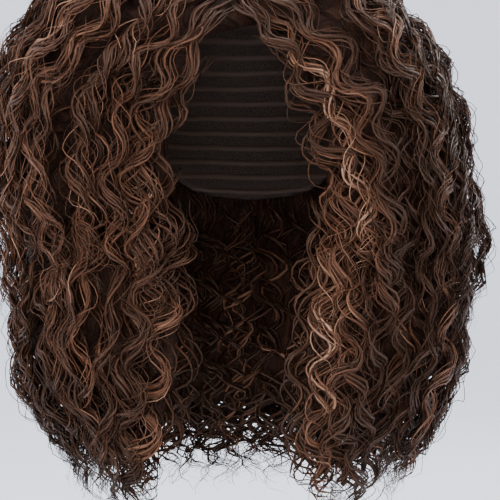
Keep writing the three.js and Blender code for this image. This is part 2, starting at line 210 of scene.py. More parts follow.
class Grid:
    """Values over azimuth and fall that are read between their points."""

    def __init__(self, values):
        self.values = values

    def at(self, azimuth, fall):
        columns, rows = self.values.shape
        x = (np.asarray(azimuth) + 180.0) / 360.0 * columns
        y = np.clip(np.asarray(fall) / 2.0, 0.0, 1.0) * (rows - 1)
        i, j = np.floor(x).astype(int), np.minimum(np.floor(y).astype(int), rows - 2)
        u, v = x - i, y - j
        a, b = self.values[i % columns, j], self.values[(i + 1) % columns, j]
        c, d = self.values[i % columns, j + 1], self.values[(i + 1) % columns, j + 1]
        return mix(mix(a, b, u), mix(c, d, u), v)


def smoothed(values, times):
    for _ in range(times):
        across = (np.roll(values, 1, 0) + np.roll(values, -1, 0)) / 2
        tall = np.pad(values, ((0, 0), (1, 1)), mode="edge")
        values = values / 3 + across / 3 + (tall[:, :-2] + tall[:, 2:]) / 6
    return values


def filled(values):
    """Gaps in a grid are filled from their nearest neighbours."""
    values = values.copy()
    while np.isnan(values).any():
        tall = np.pad(values, ((0, 0), (1, 1)), constant_values=np.nan)
        near = np.stack([np.roll(values, 1, 0), np.roll(values, -1, 0), tall[:, :-2], tall[:, 2:]])
        known = ~np.isnan(near)
        total = np.where(known, near, 0).sum(0)
        count = known.sum(0)
        fill = np.isnan(values) & (count > 0)
        values[fill] = total[fill] / count[fill]
    return values


def measure_form():
    """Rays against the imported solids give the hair's outer form and its inner face."""
    points, faces = [], []
    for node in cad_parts.values():
        start = len(points)
        points += [v.co.copy() for v in node.data.vertices]
        faces += [[start + k for k in p.vertices] for p in node.data.polygons]
    tree = BVHTree.FromPolygons(points, faces)
    outer = np.full((GRID_AZIMUTHS, GRID_FALLS), np.nan)
    inner = np.full((GRID_AZIMUTHS, GRID_FALLS), np.nan)
    for i in range(GRID_AZIMUTHS):
        azimuth = -180.0 + 360.0 * i / GRID_AZIMUTHS
        for j in range(GRID_FALLS):
            fall = 2.0 * j / (GRID_FALLS - 1)
            end = Vector(place(azimuth, fall, RAY_START))
            middle = Vector(place(azimuth, fall, 0.0))
            inwards = (middle - end).normalized()
            hit = tree.ray_cast(end, inwards, RAY_START)
            if hit[0] is not None:
                outer[i, j] = RAY_START - hit[3]
            hit = tree.ray_cast(middle, -inwards, RAY_START)
            if hit[0] is not None:
                inner[i, j] = hit[3]
    inner = smoothed(filled(inner), INNER_SMOOTHING)
    crest = filled(outer)
    for _ in range(CREST_SPREAD):
        tall = np.pad(crest, ((0, 0), (1, 1)), mode="edge")
        crest = np.max([crest, np.roll(crest, 1, 0), np.roll(crest, -1, 0), tall[:, :-2], tall[:, 2:]], 0)
    return Grid(smoothed(crest, OUTER_SMOOTHING) + CREST_CLEARANCE), Grid(inner)


OUTER, INNER = measure_form()


def edge(name, fall):
    """The azimuth of an edge between sections at a fall."""
    falls = [row["fall"] for row in FACE]
    if name == "face_left":
        return np.interp(fall, falls, [row["left"] for row in FACE])
    if name == "face_right":
        return np.interp(fall, falls, [row["right"] for row in FACE])
    if not isinstance(name, str):
        return np.full_like(fall, name)
    divide = DIVIDES[name]
    share = np.clip((fall - divide["fall"]) / (1.0 - divide["fall"]), 0.0, 1.0) ** DIVIDE_BEND
    return mix(divide["top"], divide["low"], share)


def across(section, fall, share):
    """The azimuth at a share of a section's width."""
    start = edge(section["from"], fall)
    width = np.mod(edge(section["to"], fall) - start, 360.0)
    return start + width * share


def random_grid(seed, columns, rows):
    """Values of -1 to 1 that change slowly over azimuth and fall."""
    values = np.random.default_rng(seed).uniform(-1.0, 1.0, (columns, rows))
    return Grid(values)


# Locks

# What changes slowly from place to place: the drift of locks to the side, the phase and the length of their curls,
# how deep they lie, and how dark they are
DRIFT = random_grid(11, 40, 16)
PHASES = random_grid(12, 26, 14)
LENGTHS = random_grid(13, 20, 10)
HEIGHTS = random_grid(14, 44, 22)
SHADES = random_grid(15, 40, 26)

# How locks lie. Lengths are in metres, and pairs are the ends of a stretch of fall over which something sets in, or
# of a random range.
PATH_SAMPLES = 260
PATH_EASE = 1.15
DRIFT_DEGREES = 2.2
DRIFT_FALLS = (0.6, 1.3)
LEAVE_FALL = 0.035  # the fall over which a lock leaves the parting at the crown
LEAVE_GROWTH = 0.18  # and how much more of it for each fall of its root
CAP_CLEARANCE = 0.003
LEAST_RISE = 0.002
RISE_FALL = 0.09
UNEVEN_DEPTH = (-0.003, 0.003)
PLACE_DEPTH = 0.0045
COVER_SHIFT = (-0.10, 0.10)
INNER_CLEARANCE = 0.005
PITCH_FALL = 1.25  # the fall at which the pitch of locks is measured
LOCK_JITTER = (0.1, 0.9)
ROOT_JITTER = (-0.02, 0.02)
LEAST_ROOT = 0.02
PARTING_GAP = 2.5  # degrees from the parting to the roots beside it

# The curls of a lock: the range of their length, size and phase, by place and at random, and how much shorter they
# are beyond the front
LENGTH_BY_PLACE = 0.16
LENGTH_RANGE = (0.97, 1.03)
SIDE_SHORTER = 0.14
SIDE_AZIMUTHS = (40.0, 75.0)
SIZE_RANGE = (0.7, 1.15)
PHASE_BY_PLACE = 2.4
PHASE_SPREAD = 0.55


def lay_paths(section, share, root, tip, target, rooted_on):
    """The middle lines of locks, evenly sampled by length, with the directions to their side and outwards."""
    u = np.linspace(0.0, 1.0, PATH_SAMPLES)[None, :]
    fall = root[:, None] + (tip - root)[:, None] * u ** PATH_EASE
    azimuth = across(section, fall, share[:, None])
    azimuth = azimuth + DRIFT.at(azimuth, fall) * DRIFT_DEGREES * smoothstep(fall, *DRIFT_FALLS)
    since = fall - root[:, None]
    leave = np.exp(-since / (LEAVE_FALL + LEAVE_GROWTH * root[:, None]))
    leave = np.where(np.isnan(rooted_on)[:, None], 0.0, leave)
    azimuth = mix(azimuth, np.nan_to_num(rooted_on)[:, None], leave)
    low = INNER.at(azimuth, fall) + CAP_CLEARANCE
    high = np.maximum(target(azimuth, fall), low + LEAST_RISE)
    distance = mix(low, high, 1.0 - np.exp(-since / RISE_FALL))
    points = place(azimuth, fall, distance)
    step = np.linalg.norm(np.diff(points, axis=1), axis=2)
    length = np.concatenate([np.zeros((len(step), 1)), np.cumsum(step, 1)], 1)
    even = np.empty_like(points)
    for k in range(len(points)):
        at = np.linspace(0.0, length[k, -1], PATH_SAMPLES)
        for axis in range(3):
            even[k, :, axis] = np.interp(at, length[k], points[k, :, axis])
    along = np.gradient(even, axis=1)
    along /= np.linalg.norm(along, axis=2, keepdims=True)
    outwards = even - np.array([0.0, 0.0, -WIDEST_DROP])
    outwards[..., 2] = np.maximum(outwards[..., 2], 0.0)
    side = np.cross(along, outwards)
    side /= np.linalg.norm(side, axis=2, keepdims=True)
    return {"points": even, "along": along, "side": side, "up": np.cross(side, along), "length": length[:, -1]}


def caramel_and_shade_at(azimuth, fall):
    """How much lighter the hair is at a place by its caramel streaks, and how much darker by painted shade."""
    total = np.zeros_like(azimuth)
    for patch in CARAMEL_AND_SHADE_PATCHES:
        turn = (azimuth - patch["azimuth"] + 180.0) % 360.0 - 180.0
        rise = (fall - patch["fall"]) / patch["tall"]
        total += patch["light"] * np.exp(-((turn / patch["wide"]) ** 2) - rise ** 2)
    return total


def read_paths(paths, index, at):
    """Points and directions of the chosen paths at shares of their length."""
    x = np.clip(at, 0.0, 1.0) * (PATH_SAMPLES - 1)
    i = np.minimum(x.astype(int), PATH_SAMPLES - 2)
    u = (x - i)[..., None]
    rows = index[:, None]
    return [mix(paths[key][rows, i], paths[key][rows, i + 1], u) for key in ("points", "along", "side", "up")]


# The waves by which strands wander from their lock: their lengths, the random range of these, and their joint size
WANDER_LENGTHS = (0.24, 0.13, 0.07)
WANDER_RANGE = (0.75, 1.3)
WANDER_SUM = 1.4


def wander(rng, run, size):
    """A slow drift of each strand away from its lock."""
    total = np.zeros_like(run)
    each = (len(run), 1)
    for length in WANDER_LENGTHS:
        own = rng.uniform(*WANDER_RANGE, each) * length
        height = rng.normal(0.0, 1.0, each)
        total += height * np.sin(2 * np.pi * (run / own + rng.uniform(0, 1, each)))
    return total * size / WANDER_SUM


# The share of strands that is dark or caramel, and the tones of each kind
DARK_SHARE = 0.80
DARK_TONES = (0.06, 0.26)
AUBURN_TONES = (0.28, 0.48)
CARAMEL_TONES = (0.58, 0.82)


def strand_tones(rng, count, light_share):
    """Tones of 0 to 1: most dark, some auburn, and a share of caramel."""
    pick = rng.uniform(0.0, 1.0, count)
    tone = np.where(pick < DARK_SHARE, rng.uniform(*DARK_TONES, count), rng.uniform(*AUBURN_TONES, count))
    return np.where(pick < light_share, rng.uniform(*CARAMEL_TONES, count), tone)


# How strands lie in their lock. "Own" is a share of the strand's length and "at" a share of the lock's.
STRAY_START = (0.30, 0.55)
STRAY_FACET = 0.75
LEAST_RINGS = 10
PHASE_APART = 0.22
PHASE_GROWTH = 2.0
RING_CROWDING = 0.45  # how much closer rings stand at the bends of a curl
CROWDING_ENDS = 0.1
HOOK = 2.2  # radians more of curl at the tip
HOOK_OWN = (0.82, 1.0)
SWING_RANGE = (0.85, 1.10)
BEAT = 0.20  # how much a strand's curls vary in size, and over how many of them
BEAT_CURLS = 2.6
BEAT_PHASE = 1.7
SWING_ONSET = 0.02
SWING_LOSS = 0.12
GATHER_LEVEL = 0.65  # how thick a lock is along its length
GATHER_SIZE = 0.35
GATHER_TURN = 2.4
GATHER_MIDDLE = 0.35
RADIUS_EASE = 0.6
APART_LEVEL = 0.7
APART_GROWTH = 0.5
FAN = (-0.6, 0.6)  # how far the roots of a lock spread, as a share of the pitch
FAN_RUN = (0.01, 0.08)
TWIST = 1.5
FUZZ = (0.0002, 0.0008)
FUZZ_LENGTH = (0.022, 0.034)
FUZZ_LOOSE = 2.0
STRAND_DRIFT = 0.0019
DRIFT_LOOSE = 1.2
CURL_DEPTH = 0.36  # how round a curl is, seen along the lock
LOCK_DEPTH = 0.5
WANDER_DEPTH = 0.4
STRAY_LIFT = (0.001, 0.008)
LIFT_OWN = (0.05, 0.6)
CURL_PULL = 0.14  # how far a strand moves back and forth along the lock in each half of a curl
ROOT_WIDTH = 0.5
ROOT_WIDENING = 5.0
TIP_LOSS = 0.88
TIP_OWN = (0.80, 1.0)
WIDTH_RANGE = (0.65, 1.25)
SAME_TONE = 0.84  # the share of strands with their lock's tone
TONE_SPREAD = 0.04
LIGHT_RANGE = (0.1, 1.1)
# Painted shade: strands darker towards the lowest tips, over these falls
LOW_PAINTED_SHADE = 0.26
LOW_FALLS = (1.45, 1.95)
PLACE_SHADE = 0.10
ROOT_SHADE_RUN = (-0.02, 0.10)
SHIFTS = 400


def grow(paths, locks, index, kind, layer, hair, rng):
    """Strands that follow the locks they belong to, as centre lines with widths and tones."""
    count = len(index)
    loose = kind["loose"]
    length = paths["length"][index]
    end = rng.uniform(kind["reach"], 1.0, count)
    stray = loose == 1.0
    start = rng.uniform(*STRAY_START, count) if stray else np.zeros(count)
    facet = hair.facet_length * layer["facet"] * (STRAY_FACET if stray else 1.0)
    steps = max(LEAST_RINGS, round(float((length * (end - start)).mean()) / facet))
    at = start[:, None] + (end - start)[:, None] * np.linspace(0.0, 1.0, steps)[None, :]
    own = (at - start[:, None]) / (end - start)[:, None]
    run = at * length[:, None]
    size = (count, 1)
    turn, wave, phase, above = (locks[key][index][:, None] for key in ("turn", "wave", "phase", "above"))
    phase = phase + rng.normal(0.0, PHASE_APART * layer["apart"] + loose, size) * (1.0 + PHASE_GROWTH * at)
    curl = 2.0 * np.pi * (run + above) / wave + phase
    ends = smoothstep(own, 0.0, CROWDING_ENDS) * smoothstep(1.0 - own, 0.0, CROWDING_ENDS)
    run = run + RING_CROWDING * wave / (4.0 * np.pi) * np.sin(2.0 * curl) * ends
    at = run / length[:, None]
    own = (at - start[:, None]) / (end - start)[:, None]
    curl = 2.0 * np.pi * (run + above) / wave + phase + HOOK * smoothstep(own, *HOOK_OWN)
    swing = locks["swing"][index][:, None] * rng.uniform(*SWING_RANGE, size)
    swing = swing * (1.0 + BEAT * np.sin(2.0 * np.pi * run / (BEAT_CURLS * wave) + BEAT_PHASE * phase))
    straight = layer["straight"]
    swing = swing * smoothstep(run, 0.3 * straight, straight + SWING_ONSET) * (1.0 - SWING_LOSS * at)
    gather = GATHER_LEVEL + GATHER_SIZE * np.cos(GATHER_TURN * (at - GATHER_MIDDLE))
    apart = APART_LEVEL + APART_GROWTH * layer["apart"] + loose
    radius = hair.lock_size / 2 * rng.uniform(0.1, 1.0, size) ** RADIUS_EASE * gather * apart
    fan = rng.uniform(*FAN, size) * layer["pitch"] * (1.0 - smoothstep(run, *FAN_RUN))
    angle = rng.uniform(0.0, 2.0 * np.pi, size) + rng.normal(0.0, TWIST, size) * at
    fuzz = rng.uniform(*FUZZ, size) * (1.0 + FUZZ_LOOSE * loose)
    fuzz_turn = 2.0 * np.pi * (run / rng.uniform(*FUZZ_LENGTH, size) + rng.uniform(0.0, 1.0, size))
    drift = STRAND_DRIFT * (layer["apart"] + DRIFT_LOOSE * loose)
    sideways = swing * np.sin(curl) + radius * np.cos(angle) + fan + fuzz * np.sin(fuzz_turn) + wander(rng, run, drift)
    outwards = CURL_DEPTH * turn * swing * np.cos(curl) + LOCK_DEPTH * radius * np.sin(angle) + fuzz * np.cos(fuzz_turn)
    lift = rng.uniform(*STRAY_LIFT, size) if stray else 0.0
    outwards = outwards + wander(rng, run, drift * WANDER_DEPTH) + lift * smoothstep(own, *LIFT_OWN)
    forwards = -CURL_PULL * swing * np.sin(2.0 * curl)
    centre, along, side, up = read_paths(paths, index, at)
    centre = centre + side * sideways[..., None] + up * outwards[..., None] + along * forwards[..., None]
    taper = np.minimum(ROOT_WIDTH + ROOT_WIDENING * own, 1.0) * (1.0 - TIP_LOSS * smoothstep(own, *TIP_OWN))
    wide = getattr(hair, kind["width"]) * rng.uniform(*WIDTH_RANGE, size) * taper
    same = rng.uniform(0.0, 1.0, count) < SAME_TONE
    tone = np.where(same, locks["tone"][index], strand_tones(rng, count, hair.caramel_share))
    # A layer's tone below 0 is painted shade of its depth behind the outer locks.
    tone = (tone + layer["tone"] + kind["tone"] + rng.normal(0.0, TONE_SPREAD, count))[:, None]
    azimuth, fall, _ = placed(centre.reshape(-1, 3))
    # Caramel streaks by place, and painted shade on the wearer's left side
    caramel_and_painted_shade = caramel_and_shade_at(azimuth, fall).reshape(at.shape)
    # Painted shade towards the lowest tips, with slow random changes of tone by place
    painted_shade_and_tone = LOW_PAINTED_SHADE * smoothstep(fall, *LOW_FALLS) - PLACE_SHADE * SHADES.at(azimuth, fall)
    tone = tone + caramel_and_painted_shade * rng.uniform(*LIGHT_RANGE, size) - painted_shade_and_tone.reshape(at.shape)
    tone = tone * smoothstep(run, *ROOT_SHADE_RUN)
    return {"centre": centre, "up": up, "wide": wide, "tone": tone, "run": run, "curl": curl, "flat": kind["flat"],
            "shift": rng.integers(0, SHIFTS, count).astype(float)}


# A strand's section: how far it leans as it curls, and how its thickness is shared between its back and its front
STRAND_LEAN = 0.5
BACK_SHARE = 0.6
FRONT_SHARE = 1.4
UV_PER_METRE = 40.0


def strand_mesh(name, bundles):
    """One mesh of closed three-sided strands, with their tone, and a UV map across and along each of them."""
    coords, quads, ends, tones, uvs, end_uvs = [], [], [], [], [], []
    start = 0
    for bundle in bundles:
        centre = bundle["centre"]
        count, steps = centre.shape[:2]
        along = np.gradient(centre, axis=1)
        along /= np.linalg.norm(along, axis=2, keepdims=True)
        side = np.cross(along, bundle["up"])
        side /= np.linalg.norm(side, axis=2, keepdims=True)
        out = np.cross(side, along)
        lean = STRAND_LEAN * np.sin(bundle["curl"])[..., None]
        side, out = side * np.cos(lean) + out * np.sin(lean), out * np.cos(lean) - side * np.sin(lean)
        wide = bundle["wide"][..., None] / 2
        deep = wide * bundle["flat"]
        back = out * deep * BACK_SHARE
        front = out * deep * FRONT_SHARE
        ring = np.stack([centre + side * wide - back, centre + front, centre - side * wide - back], 2)
        coords.append(ring.reshape(-1, 3))
        base = start + (np.arange(count)[:, None, None] * steps + np.arange(steps - 1)[None, :, None]) * 3
        k = np.arange(3)[None, None, :]
        a, b = base + k, base + (k + 1) % 3
        quads.append(np.stack([a, b, b + 3, a + 3], -1).reshape(-1, 4))
        first = start + np.arange(count)[:, None] * steps * 3
        last = first + (steps - 1) * 3
        ends.append(np.concatenate([first + [2, 1, 0], last + [0, 1, 2]]))
        tones.append(np.repeat(np.clip(bundle["tone"], 0.0, 1.0).reshape(-1), 3))
        shift = bundle["shift"][:, None, None] + np.zeros((1, steps - 1, 3))
        run = bundle["run"]
        v0 = np.repeat(run[:, :-1, None], 3, 2) * UV_PER_METRE
        v1 = np.repeat(run[:, 1:, None], 3, 2) * UV_PER_METRE
        u0 = np.zeros_like(v0) + np.array([0.0, 0.5, 1.0]) + shift
        u1 = np.zeros_like(v0) + np.array([0.5, 1.0, 0.0]) + shift
        uvs.append(np.stack([u0, v0, u1, v0, u1, v1, u0, v1], -1).reshape(-1, 2))
        end_uvs.append(np.zeros((count * 6, 2)))
        start += count * steps * 3
    coords = np.concatenate(coords).astype(np.float32)
    quads, ends = np.concatenate(quads), np.concatenate(ends)
    loops = np.concatenate([quads.reshape(-1), ends.reshape(-1)])
    starts = np.concatenate([np.arange(len(quads)) * 4, len(quads) * 4 + np.arange(len(ends)) * 3])
    mesh = bpy.data.meshes.new(name)
    mesh.vertices.add(len(coords))
    mesh.vertices.foreach_set("co", coords.reshape(-1))
    mesh.loops.add(len(loops))
    mesh.loops.foreach_set("vertex_index", loops.astype(np.int32))
    mesh.polygons.add(len(starts))
    mesh.polygons.foreach_set("loop_start", starts.astype(np.int32))
    mesh.update(calc_edges=True)
    tones = np.concatenate(tones).astype(np.float32)
    mesh.attributes.new("tone", "FLOAT", "POINT").data.foreach_set("value", tones)
    uvs = np.concatenate(uvs + end_uvs).astype(np.float32).reshape(-1)
    mesh.uv_layers.new(name="strand").data.foreach_set("uv", uvs)
    mesh.polygons.foreach_set("use_smooth", np.ones(len(starts), bool))
    mesh.validate()
    return mesh


def add_piece(name, mesh, finish, *replaced):
    piece = bpy.data.objects.new(name, mesh)
    bpy.context.scene.collection.objects.link(piece)
    mesh.materials.append(finish)
    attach(piece, "root")
    if replaced:
        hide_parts(*replaced)
    return piece


def section_width(section, fall):
    """A section's width at one fall, round the outer form."""
    ends = across(section, np.array([fall, fall]), np.array([0.0, 1.0]))
    return float(np.radians(ends[1] - ends[0]) * OUTER.at(ends.mean(), fall))


def lock_settings(rng, paths, root, hair):
    """What the strands of a lock share: the length, size, phase and turn of its curls, and its tone."""
    count = len(paths["length"])
    azimuth, fall, _ = placed(paths["points"][:, PATH_SAMPLES // 2])
    closer = 1.0 - SIDE_SHORTER * smoothstep(np.abs(azimuth), *SIDE_AZIMUTHS)
    longer = 1.0 + LENGTH_BY_PLACE * LENGTHS.at(azimuth, fall)
    return {
        "wave": hair.curl_length * longer * closer * rng.uniform(*LENGTH_RANGE, count),
        "swing": hair.curl_size * rng.uniform(*SIZE_RANGE, count),
        "above": fallen(root),
        "phase": PHASES.at(azimuth, fall) * PHASE_BY_PLACE + rng.normal(0.0, PHASE_SPREAD, count),
        "turn": np.where(rng.uniform(0.0, 1.0, count) < 0.5, 1.0, -1.0),
        "tone": strand_tones(rng, count, hair.caramel_share),
    }


def dress_section(section, layers, cover, hair, seed, root_of):
    """All the strands of one section of hair."""
    rng = np.random.default_rng(seed)
    bundles = []
    for layer in layers:
        count = max(3, round(section_width(section, PITCH_FALL) / layer["pitch"]))
        share = (np.arange(count) + rng.uniform(*LOCK_JITTER, count)) / count
        root, rooted_on = root_of(section, layer, share, rng)
        tip = rng.uniform(*layer["tip"], count) - section.get("short", 0.0)
        uneven = rng.uniform(*UNEVEN_DEPTH, (count, 1))
        cover_shift = rng.uniform(*COVER_SHIFT, (count, 1))

        def target(azimuth, fall):
            if layer["depth"] is None:
                return INNER.at(azimuth, fall) + INNER_CLEARANCE + uneven
            depth = layer["depth"] + uneven + PLACE_DEPTH * HEIGHTS.at(azimuth, fall)
            if cover:
                depth = mix(cover["depth"], depth, smoothstep(fall + cover_shift, cover["from"], cover["to"]))
            return OUTER.at(azimuth, fall) - depth

        paths = lay_paths(section, share, root, tip, target, rooted_on)
        locks = lock_settings(rng, paths, root, hair)
        for name, kind in STRANDS.items():
            if layer[name]:
                index = np.repeat(np.arange(count), layer[name])
                bundles.append(grow(paths, locks, index, kind, layer, hair, rng))
    return bundles


def crown_root(section, layer, share, rng):
    """Where crown locks are rooted: along the parting and round the crown, or on the cap further down."""
    first, last = section["rooted"]
    if layer["root"] is None:
        root = np.maximum(mix(first, last, share) + rng.uniform(*ROOT_JITTER, len(share)), LEAST_ROOT)
        on_parting = PARTING + PARTING_GAP * section["parted"]
        return root, np.full(len(share), on_parting if section["parted"] else np.nan)
    lowest = max(first, last)
    root = rng.uniform(max(layer["root"][0], lowest * 1.05), max(layer["root"][1], lowest * 1.3), len(share))
    return root, np.full(len(share), np.nan)


def hanging_root(section, layer, share, rng):
    """Where hanging locks are rooted: in rows on the lower half of the cap."""
    return rng.uniform(*layer["root"], len(share)), np.full(len(share), np.nan)


# Materials

class Value:
    """A number that changes over a surface, for shader maths in plain expressions."""

    def __init__(self, finish, socket):
        self.finish = finish
        self.socket = socket

    def _maths(self, operation, first, second):
        node = self.finish.add("ShaderNodeMath", {"operation": operation}, {0: first, 1: second})
        return Value(self.finish, node.outputs[0])

    def __add__(self, other):
        return self._maths("ADD", self, other)

    def __radd__(self, other):
        return self._maths("ADD", other, self)

    def __sub__(self, other):
        return self._maths("SUBTRACT", self, other)

    def __rsub__(self, other):
        return self._maths("SUBTRACT", other, self)

    def __mul__(self, other):
        return self._maths("MULTIPLY", self, other)

    def __rmul__(self, other):
        return self._maths("MULTIPLY", other, self)


class Finish:
    """A material under construction."""

    def __init__(self, name, **constants):
        self.material = bpy.data.materials.new(name)
        self.material.use_nodes = True
        self.tree = self.material.node_tree
        self.tree.nodes.clear()
        self.shader = self.add("ShaderNodeBsdfPrincipled", {}, constants)
        self.add("ShaderNodeOutputMaterial", {}, {"Surface": Value(self, self.shader.outputs[0])})

    def add(self, kind, settings, inputs):
        """Adds a node, sets it up, and gives its sockets values or links."""
        node = self.tree.nodes.new(kind)
        for name, value in settings.items():
            if name == "stops":
                for extra in value[2:]:
                    node.color_ramp.elements.new(extra[0])
                for element, (position, colour) in zip(node.color_ramp.elements, value):
                    element.position = position
                    element.color = (*colour, 1.0)
            else:
                setattr(node, name, value)
        for name, value in inputs.items():
            socket = node.inputs[name]
            if isinstance(value, Value):
                self.tree.links.new(value.socket, socket)
            elif hasattr(value, "__len__") and socket.type == "RGBA" and len(value) == 3:
                socket.default_value = (*value, 1.0)
            else:
                socket.default_value = value
        return node

    def value(self, kind, settings, inputs, output=0):
        return Value(self, self.add(kind, settings, inputs).outputs[output])

    def scaled(self, where, scale):
        return self.value("ShaderNodeMapping", {}, {"Vector": where, "Scale": scale})

    def noise(self, where, scale=1.0, detail=1.0):
        """Noise over two coordinates."""
        inputs = {"Vector": where, "Scale": scale, "Detail": detail}
        return self.value("ShaderNodeTexNoise", {"noise_dimensions": "2D"}, inputs, "Fac")

    def sine(self, turns):
        return self.value("ShaderNodeMath", {"operation": "SINE"}, {0: turns})

    def feed(self, name, value):
        self.tree.links.new(value.socket, self.shader.inputs[name])

    def colour(self, stops, value):
        """Gives the surface its colour, by a value of 0 to 1."""
        self.feed("Base Color", self.value("ShaderNodeValToRGB", {"stops": stops}, {"Fac": value}))

    def relief(self, strength, distance, height):
        """Gives the surface a fine relief."""
        inputs = {"Strength": strength, "Distance": distance, "Height": height}
        self.feed("Normal", self.value("ShaderNodeBump", {}, inputs))


# The hair: how close streaks and patches lie across and along a strand, how much they change its tone, where on the
# scale of tones the colours stand, and its gloss
STREAK_SCALE = (5.5, 0.10, 1.0)
PATCH_SCALE = (0.8, 0.6, 1.0)
STREAK_TONE = 0.95
PATCH_TONE = 0.80
DARK_STOP = 0.30
WARM_STOP = 0.62
HAIR_GLOSS = {"Specular IOR Level": 0.36, "Specular Tint": (1.0, 0.70, 0.52)}


def hair_finish(name, hair):
    """Bundled hairs: fine streaks along each strand, dark at the root, with light strands by their tone."""
    finish = Finish(name, **HAIR_GLOSS)
    strand = finish.value("ShaderNodeUVMap", {"uv_map": "strand"}, {})
    tone = finish.value("ShaderNodeAttribute", {"attribute_name": "tone"}, {}, "Fac")
    streaks = finish.noise(finish.scaled(strand, STREAK_SCALE), detail=3.0)
    patches = finish.noise(finish.scaled(strand, PATCH_SCALE))
    mixed = tone + (streaks - 0.5) * STREAK_TONE + (patches - 0.5) * PATCH_TONE
    finish.colour([(0.0, hair.root_colour), (DARK_STOP, hair.dark_colour), (WARM_STOP, hair.warm_colour),
                   (1.0, hair.caramel_colour)], mixed)
    finish.feed("Roughness", 0.38 + streaks * 0.26)
    finish.relief(0.6, 0.0004, streaks)
    return finish.material


# The under-hair: how its streaks wave, and how close they and the locks among them lie across and along the flow
WAVE_SIZE = 0.0055
WAVE_PATCHES = 38.0
WAVE_UNEVEN = 11.0
UNDER_STREAKS = (620.0, 16.0)
UNDER_LOCKS = (130.0, 12.0)


def under_finish(hair):
    """The dark hair behind the locks, with painted shade in its darkest stop: streaks that wave along the flow of the
    hair, in relief.
    """
    finish = Finish("under_hair", **{"Specular IOR Level": 0.12})
    flow = finish.value("ShaderNodeAttribute", {"attribute_name": "flow"}, {}, "Vector")
    across_flow = finish.value("ShaderNodeSeparateXYZ", {}, {"Vector": flow}, "X")
    along_flow = finish.value("ShaderNodeSeparateXYZ", {}, {"Vector": flow}, "Y")
    patch = finish.noise(flow, scale=WAVE_PATCHES)
    turns = along_flow * (2.0 * math.pi / hair.curl_length) + patch * WAVE_UNEVEN
    waved = across_flow + finish.sine(turns) * WAVE_SIZE

    def warped(scale):
        return finish.value("ShaderNodeCombineXYZ", {}, {"X": waved * scale[0], "Y": along_flow * scale[1], "Z": 0.0})

    streaks = finish.noise(warped(UNDER_STREAKS), detail=3.0)
    locks = finish.noise(warped(UNDER_LOCKS))
    mixed = streaks * 0.9 + locks * 0.9 - 0.42
    # The darkest stop, below the root colour, is painted shade deep among the locks.
    stops = [(0.15, [0.6 * c for c in hair.root_colour]), (0.45, hair.root_colour), (0.75, hair.dark_colour)]
    finish.colour(stops, mixed)
    finish.feed("Roughness", 0.75 - streaks * 0.2)
    finish.relief(0.9, 0.004, streaks * 0.4 + locks)
    return finish.material


# The cap: how fine its net is, how wide a thread, and how uneven and how wide the sewn rows
NET_SCALE = 460.0
THREAD_WIDTH = 0.14
ROW_UNEVEN = 2.4
ROW_LEVELS = (0.25, 0.95)


def cap_finish(cap):
    """Stretch net with rows of sewn hair over it."""
    finish = Finish("cap_net", **{"Specular IOR Level": 0.25})
    where = finish.value("ShaderNodeTexCoord", {}, {}, "Object")
    holes = {"Vector": where, "Scale": NET_SCALE}
    net = finish.value("ShaderNodeTexVoronoi", {"feature": "DISTANCE_TO_EDGE"}, holes, "Distance")
    thread = finish.value("ShaderNodeMath", {"operation": "LESS_THAN"}, {0: net, 1: THREAD_WIDTH})
    level = finish.value("ShaderNodeSeparateXYZ", {}, {"Vector": where}, "Z")
    uneven = finish.value("ShaderNodeTexNoise", {}, {"Vector": where, "Scale": 22.0, "Detail": 2.0}, "Fac")
    rows = finish.sine(level * (2.0 * math.pi / cap.row_pitch) + uneven * ROW_UNEVEN)
    levels = {"Value": rows, "From Min": ROW_LEVELS[0], "From Max": ROW_LEVELS[1]}
    sewn = finish.value("ShaderNodeMapRange", {}, levels)
    height = thread * 0.35 + sewn
    stops = [(0.0, [0.45 * c for c in cap.net_colour]), (0.35, cap.net_colour), (1.0, cap.row_colour)]
    finish.colour(stops, height * 0.74)
    finish.feed("Roughness", 0.85 - sewn * 0.25)
    finish.relief(0.8, 0.0012, height)
    return finish.material


def colour_property(name, description, default):
    return FloatVectorProperty(name=name, description=description, default=default, subtype="COLOR", min=0.0, max=1.0)


def length_property(name, description, default):
    return FloatProperty(name=name, description=description, default=default, min=0.0, unit="LENGTH")


class WigHair(bpy.types.PropertyGroup):
    curl_length: length_property("Curl length", "One full wave along a lock", 0.041)
    curl_size: length_property("Curl size", "How far a curl swings to either side", 0.0098)
    lock_size: length_property("Lock size", "Width of the bundle of strands in a lock", 0.0060)
    ribbon_width: length_property("Ribbon width", "Width of a flat strand of many hairs", 0.0024)
    hair_width: length_property("Hair width", "Width of a fine strand", 0.0008)
    stray_width: length_property("Stray width", "Width of a stray hair", 0.0005)
    facet_length: length_property("Facet length", "Length of a strand between two of its rings", 0.0037)
    under_depth: length_property("Under-hair depth", "From the outer form in to the dark hair behind the locks", 0.010)
    caramel_share: FloatProperty(name="Caramel share", description="Share of light locks", default=0.12, min=0, max=1)
    root_colour: colour_property("Root colour", "The darkest hair", (0.0205, 0.0080, 0.0042))
    dark_colour: colour_property("Dark colour", "The main brown", (0.042, 0.0150, 0.0076))
    warm_colour: colour_property("Warm colour", "The auburn between brown and caramel", (0.110, 0.042, 0.0215))
    caramel_colour: colour_property("Caramel colour", "The lightest streaks", (0.37, 0.205, 0.128))


class WigCap(bpy.types.PropertyGroup):
    row_pitch: length_property("Row pitch", "From one row of sewn hair to the next", 0.011)
    net_colour: colour_property("Net colour", "The stretch net", (0.050, 0.032, 0.024))
    row_colour: colour_property("Row colour", "The seams of the sewn rows", (0.066, 0.039, 0.027))


